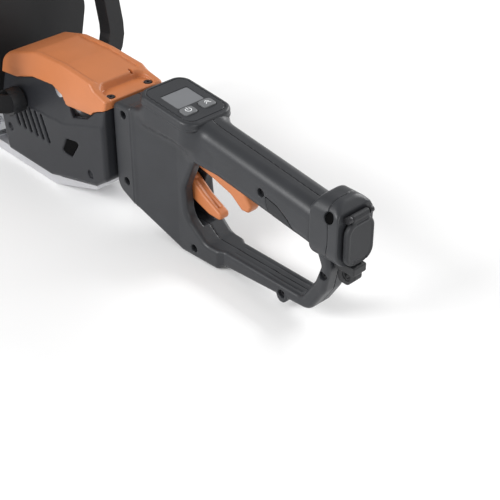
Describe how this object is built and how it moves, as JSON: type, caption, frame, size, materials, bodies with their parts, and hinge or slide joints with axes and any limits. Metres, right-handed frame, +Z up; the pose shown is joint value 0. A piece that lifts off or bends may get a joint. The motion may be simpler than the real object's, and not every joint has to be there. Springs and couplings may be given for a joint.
{
  "type": "hedge trimmer",
  "caption": "Cable-fed battery hedge trimmer with two reciprocating toothed blades, a front hoop handle, a guard and a rear loop handle that swivels about the tool's long axis.",
  "frame": {"origin": "bottom centre of the bounding box, on the plane that the base plate rests on", "axes": "+X from the blades' tip to the rear handle, +Y to the operator's right, +Z up"},
  "size_m": [1.116, 0.1942, 0.2187],
  "materials": {
    "dark_shell": "fine-grained dark grey moulding",
    "housing_plastic": "fine-grained dark grey moulding",
    "orange_plastic": "satin orange moulding",
    "button_grey": "satin grey",
    "display_lens": "smooth smoked window",
    "circuit_board": "green solder mask",
    "soft_rubber": "matte soft rubber",
    "black_plastic": "matte black moulding",
    "black_screw": "black oxide",
    "bright_steel": "ground",
    "gear_steel": "machined",
    "cast_aluminium": "satin cast",
    "blade_steel": "ground along its length",
    "copper_wire": "enamelled copper",
    "magnet": "nickel-plated",
    "brass_part": "plated"
  },
  "bodies": {
    "powerhead": {"swivel_ring": "cast_aluminium", "housing_left": "housing_plastic", "housing_right": "housing_plastic", "top_cover": "orange_plastic", "cover_screws": "black_screw", "base_plate": "cast_aluminium", "base_screws": "black_screw", "stator_core": "gear_steel", "stator_windings": "copper_wire", "motor_bearings": "bright_steel", "end_shield": "cast_aluminium", "controller_board": "circuit_board", "gear_case": "cast_aluminium", "gear_case_screws": "black_screw", "gear_bearings": "bright_steel", "grease_plug": "brass_part", "guide_bar": "cast_aluminium", "blade_bolts": "black_screw", "tip_guard": "black_plastic", "front_tube": "black_plastic", "front_grip": "soft_rubber", "lever_return_springs": "bright_steel", "tube_clamps": "black_plastic", "hand_guard": "black_plastic", "guard_screws": "black_screw"},
    "rear_handle": {"handle_shell_left": "dark_shell", "handle_shell_right": "dark_shell", "pod_bezel": "dark_shell", "display_window": "display_lens", "display_board": "circuit_board", "end_collar": "dark_shell", "power_socket": "black_plastic", "socket_contacts": "brass_part", "cover_hinge_pin": "bright_steel", "cable_hook": "black_plastic", "grip_insert": "soft_rubber", "handle_screws": "black_screw", "trigger_pin": "bright_steel", "trigger_spring": "bright_steel", "trigger_switch": "black_plastic", "lever_pin": "bright_steel", "lever_spring": "bright_steel", "lock_guide": "black_plastic"},
    "throttle_trigger": {"throttle_trigger": "orange_plastic"},
    "release_lever": {"release_lever": "orange_plastic"},
    "lock_pin": {"lock_pin": "bright_steel"},
    "power_button": {"power_button": "button_grey"},
    "mode_button": {"mode_button": "button_grey"},
    "socket_cover": {"socket_cover": "soft_rubber"},
    "front_switch_lever": {"front_switch_lever": "orange_plastic"},
    "drive_train": {"drive_gear": "gear_steel", "gear_shaft": "bright_steel", "eccentrics": "gear_steel"},
    "rotor": {"rotor_core": "gear_steel", "rotor_magnets": "magnet", "motor_shaft": "bright_steel", "pinion": "gear_steel", "motor_fan": "black_plastic"},
    "upper_blade": {"upper_blade": "blade_steel"},
    "lower_blade": {"lower_blade": "blade_steel"}
  },
  "joints": [
    {"name": "handle_swivel", "type": "hinge", "parent": "powerhead", "child": "rear_handle", "pos_m": [0.28005, 0, 0.087], "axis": [1, 0, 0], "range_deg": [-90, 90]},
    {"name": "throttle_pull", "type": "hinge", "parent": "rear_handle", "child": "throttle_trigger", "pos_m": [0.36605, 0, 0.097], "axis": [0, -1, 0], "range_deg": [0, 10], "stiffness_Nm_per_rad": 0.6, "springref_deg": -20.05},
    {"name": "lever_pull", "type": "hinge", "parent": "rear_handle", "child": "release_lever", "pos_m": [0.35205, 0, 0.069], "axis": [0, 1, 0], "range_deg": [0, 18], "stiffness_Nm_per_rad": 0.6, "springref_deg": -20.05},
    {"name": "lock_slide", "type": "slide", "parent": "rear_handle", "child": "lock_pin", "axis": [1, 0, 0], "range_m": [0, 0.005]},
    {"name": "power_press", "type": "slide", "parent": "rear_handle", "child": "power_button", "axis": [-0.0872, 0, -0.9962], "range_m": [0, 0.001], "stiffness_N_per_m": 800, "springref_m": -0.0015},
    {"name": "mode_press", "type": "slide", "parent": "rear_handle", "child": "mode_button", "axis": [-0.0872, 0, -0.9962], "range_m": [0, 0.001], "stiffness_N_per_m": 800, "springref_m": -0.0015},
    {"name": "cover_open", "type": "hinge", "parent": "rear_handle", "child": "socket_cover", "pos_m": [0.55505, 0, 0.1225], "axis": [0, -1, 0], "range_deg": [0, 110]},
    {"name": "front_lever_press", "type": "slide", "parent": "powerhead", "child": "front_switch_lever", "axis": [-0.2079, 0, 0.9781], "range_m": [0, 0.0055], "stiffness_N_per_m": 900, "springref_m": -0.004},
    {"name": "drive_turn", "type": "hinge", "parent": "powerhead", "child": "drive_train", "pos_m": [0.17105, 0, 0.027], "axis": [0, 0, 1], "range_deg": [-60, 60]},
    {"name": "rotor_spin", "type": "hinge", "parent": "powerhead", "child": "rotor", "pos_m": [0.20605, 0, 0.067], "axis": [0, 0, 1], "range_deg": [-240, 240]},
    {"name": "upper_stroke", "type": "slide", "parent": "powerhead", "child": "upper_blade", "axis": [1, 0, 0], "range_m": [-0.0083, 0.0083]},
    {"name": "lower_stroke", "type": "slide", "parent": "powerhead", "child": "lower_blade", "axis": [1, 0, 0], "range_m": [-0.0083, 0.0083]}
  ],
  "couplings": [
    {"joint": "rotor_spin", "follows": "drive_turn", "ratio": -4},
    {"joint": "upper_stroke", "follows": "drive_turn", "m_per_rad": 0.00783},
    {"joint": "lower_stroke", "follows": "drive_turn", "m_per_rad": -0.00783},
    {"joint": "lock_slide", "follows": "lever_pull", "m_per_rad": 0.0159}
  ]
}
